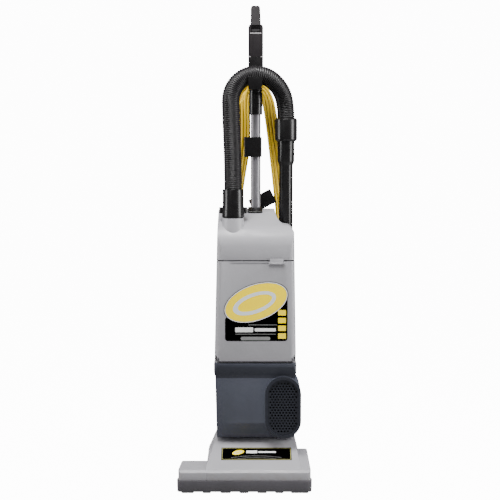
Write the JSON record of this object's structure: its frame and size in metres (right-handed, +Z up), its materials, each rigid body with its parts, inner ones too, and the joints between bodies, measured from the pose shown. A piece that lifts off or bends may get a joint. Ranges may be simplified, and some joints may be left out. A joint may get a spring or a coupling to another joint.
{
  "type": "upright vacuum cleaner",
  "caption": "Commercial upright vacuum cleaner with a wide brush head, bag body, perforated exhaust filter cover, stored hose and wand, tube handle and coiled yellow cord.",
  "frame": {"origin": "middle of the footprint, on the floor: half the cleaning head's width and half the depth from the bumper to the rear wheels", "axes": "+Z up, -Y the front of the cleaning head, +X to the right seen from the front"},
  "size_m": [0.3424, 0.33, 1.238],
  "materials": {
    "light_grey_plastic": "fine moulded texture, satin",
    "dark_grey_plastic": "fine moulded texture, satin",
    "black_plastic": "satin black",
    "handle_plastic": "satin dark grey",
    "switch_plastic": "smooth dark grey",
    "black_rubber": "matt rubber",
    "tyre_rubber": "matt",
    "hose_plastic": "corrugated, satin",
    "tube_metal": "grey painted tube",
    "steel": "brushed",
    "brass": "polished",
    "bristle": "nylon bristle",
    "brush_body": "smooth",
    "bag_paper": "paper",
    "filter_media": "pleated dark media",
    "label_print": "printed film",
    "cord_yellow": "smooth jacket"
  },
  "bodies": {
    "base": {"base_cover": "light_grey_plastic", "base_chassis": "dark_grey_plastic", "bottom_plate": "steel", "bumper": "black_rubber", "base_label": "label_print", "roller_bearings": "dark_grey_plastic", "drive_belt": "black_rubber", "brush_motor": "steel", "rear_axle": "steel", "pedal_pin": "steel", "pedal_spring": "steel", "floor_duct": "black_plastic", "duct_bellows": "black_rubber"},
    "brush": {"brush_roller": "brush_body", "brush_bristles": "bristle"},
    "brush_drive": {"motor_pulley": "steel"},
    "wheel_left": {"rear_wheel_left": "black_plastic", "rear_tyre_left": "tyre_rubber"},
    "wheel_right": {"rear_wheel_right": "black_plastic", "rear_tyre_right": "tyre_rubber"},
    "rollers": {"front_rollers": "black_rubber"},
    "pedal": {"release_pedal": "black_plastic"},
    "upright": {"motor_housing_front": "dark_grey_plastic", "motor_housing_rear": "dark_grey_plastic", "pivot_pins": "steel", "exhaust_filter": "filter_media", "suction_motor": "steel", "fan_shroud": "dark_grey_plastic", "bag_housing": "light_grey_plastic", "hinge_pins": "steel", "filter_bag": "bag_paper", "bag_collar": "bag_paper", "lid": "light_grey_plastic", "tube_collar": "black_plastic", "duct_pipe": "black_plastic", "handle_tube": "tube_metal", "tube_clamp": "black_plastic", "handle_sleeve": "black_plastic", "hose_hook": "black_plastic", "upper_cord_hook": "black_plastic", "grip_left": "handle_plastic", "grip_right": "handle_plastic", "strain_relief": "black_rubber", "lower_cord_hook": "black_plastic", "hose": "hose_plastic", "hose_cuff_lid": "black_plastic", "cord_coil": "cord_yellow", "cord_tail": "cord_yellow", "plug_body": "black_rubber", "plug_blades": "brass"},
    "door": {"bag_door": "light_grey_plastic", "front_label": "label_print"},
    "latch": {"door_latch": "light_grey_plastic"},
    "grille": {"filter_cover": "dark_grey_plastic"},
    "fan": {"motor_rotor": "steel", "fan_impeller": "black_plastic"},
    "switch": {"power_switch": "switch_plastic"},
    "wand_unit": {"wand": "black_plastic", "hose_cuff_wand": "black_plastic"},
    "hook": {"swivel_hook": "black_plastic"}
  },
  "joints": [
    {"name": "brush_spin", "type": "hinge", "parent": "base", "child": "brush", "pos_m": [0, -0.118, 0.026], "axis": [1, 0, 0], "continuous": true},
    {"name": "brush_motor_spin", "type": "hinge", "parent": "base", "child": "brush_drive", "pos_m": [0.09, -0.056, 0.046], "axis": [1, 0, 0], "continuous": true},
    {"name": "wheel_left_spin", "type": "hinge", "parent": "base", "child": "wheel_left", "pos_m": [-0.062, 0.125, 0.04], "axis": [1, 0, 0], "continuous": true},
    {"name": "wheel_right_spin", "type": "hinge", "parent": "base", "child": "wheel_right", "pos_m": [0.109, 0.125, 0.04], "axis": [1, 0, 0], "continuous": true},
    {"name": "front_roller_spin", "type": "hinge", "parent": "base", "child": "rollers", "pos_m": [0, -0.068, 0.0095], "axis": [1, 0, 0], "continuous": true},
    {"name": "release_pedal_press", "type": "hinge", "parent": "base", "child": "pedal", "pos_m": [0.055, 0.108, 0.066], "axis": [-1, 0, 0], "range_deg": [0, 12], "stiffness_Nm_per_rad": 0.6, "springref_deg": -8.59, "deforming": ["pedal_spring"]},
    {"name": "recline", "type": "hinge", "parent": "base", "child": "upright", "pos_m": [0.0275, 0.08, 0.095], "axis": [-1, 0, 0], "range_deg": [0, 78], "deforming": ["duct_bellows"]},
    {"name": "bag_door_open", "type": "hinge", "parent": "upright", "child": "door", "pos_m": [0.0275, -0.0735, 0.326], "axis": [1, 0, 0], "range_deg": [0, 80]},
    {"name": "door_latch_press", "type": "hinge", "parent": "door", "child": "latch", "pos_m": [0.082, -0.0826, 0.573], "axis": [1, 0, 0], "range_deg": [0, 8], "stiffness_Nm_per_rad": 0.05, "springref_deg": -8.59},
    {"name": "filter_cover_pull", "type": "slide", "parent": "upright", "child": "grille", "axis": [0, -1, 0], "range_m": [0, 0.06]},
    {"name": "suction_fan_spin", "type": "hinge", "parent": "upright", "child": "fan", "pos_m": [-0.009, 0.005, 0.2], "axis": [0, 0, 1], "continuous": true},
    {"name": "power_switch_rock", "type": "hinge", "parent": "upright", "child": "switch", "pos_m": [0.029, 0.047, 1.176], "axis": [1, 0, 0], "range_deg": [0, 14]},
    {"name": "wand_lift", "type": "slide", "parent": "upright", "child": "wand_unit", "axis": [0, 0, 1], "range_m": [0, 0.1], "deforming": ["hose"]},
    {"name": "cord_hook_swivel", "type": "hinge", "parent": "upright", "child": "hook", "pos_m": [0.029, 0.088, 0.715], "axis": [0, 1, 0], "range_deg": [-58, 120]}
  ],
  "couplings": [
    {"joint": "brush_motor_spin", "follows": "brush_spin", "ratio": 1.5}
  ]
}
